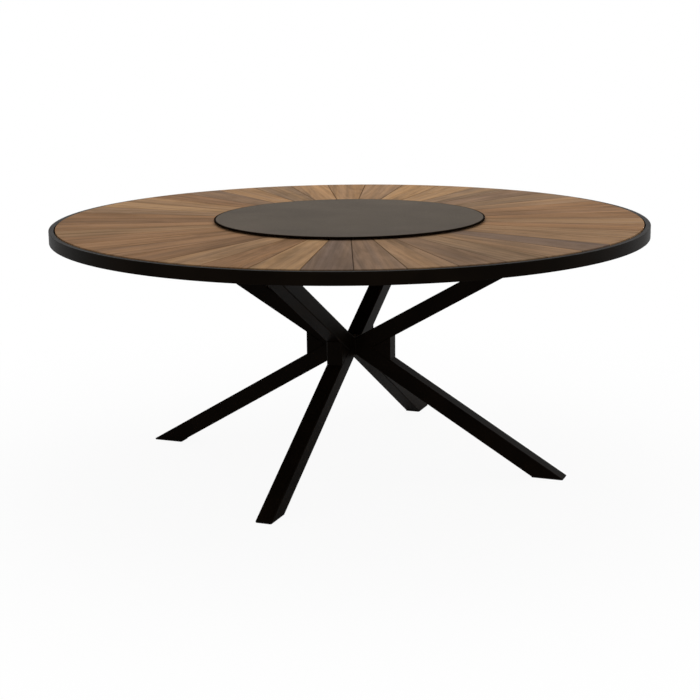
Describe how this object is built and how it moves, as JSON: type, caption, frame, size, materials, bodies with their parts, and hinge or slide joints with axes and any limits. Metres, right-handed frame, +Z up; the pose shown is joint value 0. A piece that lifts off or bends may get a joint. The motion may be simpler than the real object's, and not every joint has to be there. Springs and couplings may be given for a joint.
{
  "type": "dining table with lazy susan",
  "caption": "Round dining table with a slatted wooden top in a flat steel rim, crossed bent-tube steel legs and a turning round tray in the middle.",
  "frame": {"origin": "on the floor, under the centre of the table", "axes": "+Z up; +X and +Y lie in the floor; the first leg points 21.2 degrees from +X towards -Y, and the first gap between slats points 0.6 degrees from -Y"},
  "size_m": [1.8, 1.7996, 0.7595],
  "materials": {
    "reclaimed_wood": "oiled reclaimed hardwood, brushed grain, satin",
    "black_powder_coat": "fine-textured black powder coat",
    "grey_stone_top": "warm grey honed stone or laminate, low sheen",
    "black_plastic": "moulded, matt",
    "zinc_steel": "bright zinc plated",
    "white_nylon": "turned nylon, satin"
  },
  "bodies": {
    "frame": {"slat_01": "reclaimed_wood", "slat_02": "reclaimed_wood", "slat_03": "reclaimed_wood", "slat_04": "reclaimed_wood", "slat_05": "reclaimed_wood", "slat_06": "reclaimed_wood", "slat_07": "reclaimed_wood", "slat_08": "reclaimed_wood", "slat_09": "reclaimed_wood", "slat_10": "reclaimed_wood", "slat_11": "reclaimed_wood", "slat_12": "reclaimed_wood", "slat_13": "reclaimed_wood", "slat_14": "reclaimed_wood", "slat_15": "reclaimed_wood", "slat_16": "reclaimed_wood", "slat_17": "reclaimed_wood", "slat_18": "reclaimed_wood", "slat_19": "reclaimed_wood", "slat_20": "reclaimed_wood", "slat_21": "reclaimed_wood", "slat_22": "reclaimed_wood", "slat_23": "reclaimed_wood", "slat_24": "reclaimed_wood", "slat_25": "reclaimed_wood", "slat_26": "reclaimed_wood", "slat_27": "reclaimed_wood", "slat_28": "reclaimed_wood", "slat_29": "reclaimed_wood", "slat_30": "reclaimed_wood", "slat_31": "reclaimed_wood", "slat_32": "reclaimed_wood", "slat_33": "reclaimed_wood", "slat_34": "reclaimed_wood", "slat_35": "reclaimed_wood", "slat_36": "reclaimed_wood", "slat_37": "reclaimed_wood", "slat_38": "reclaimed_wood", "slat_39": "reclaimed_wood", "slat_40": "reclaimed_wood", "slat_41": "reclaimed_wood", "rail_1": "black_powder_coat", "rail_2": "black_powder_coat", "rail_3": "black_powder_coat", "rail_4": "black_powder_coat", "leg_1": "black_powder_coat", "leg_2": "black_powder_coat", "leg_3": "black_powder_coat", "leg_4": "black_powder_coat", "rim": "black_powder_coat", "hub_plate": "black_powder_coat", "hub_core": "black_powder_coat", "foot_caps": "black_plastic", "leg_bolts": "zinc_steel", "pivot_stud": "zinc_steel"},
    "roller_ring": {"roller_cage": "zinc_steel", "rollers": "white_nylon"},
    "susan": {"susan_tray": "black_powder_coat", "susan_disc": "grey_stone_top"}
  },
  "joints": [
    {"name": "susan_spin", "type": "hinge", "parent": "frame", "child": "susan", "pos_m": [0, 0, 0.757], "axis": [0, 0, 1], "continuous": true},
    {"name": "roller_ring_spin", "type": "hinge", "parent": "frame", "child": "roller_ring", "pos_m": [0, 0, 0.7425], "axis": [0, 0, 1], "continuous": true}
  ],
  "couplings": [
    {"joint": "roller_ring_spin", "follows": "susan_spin", "ratio": 0.5}
  ]
}
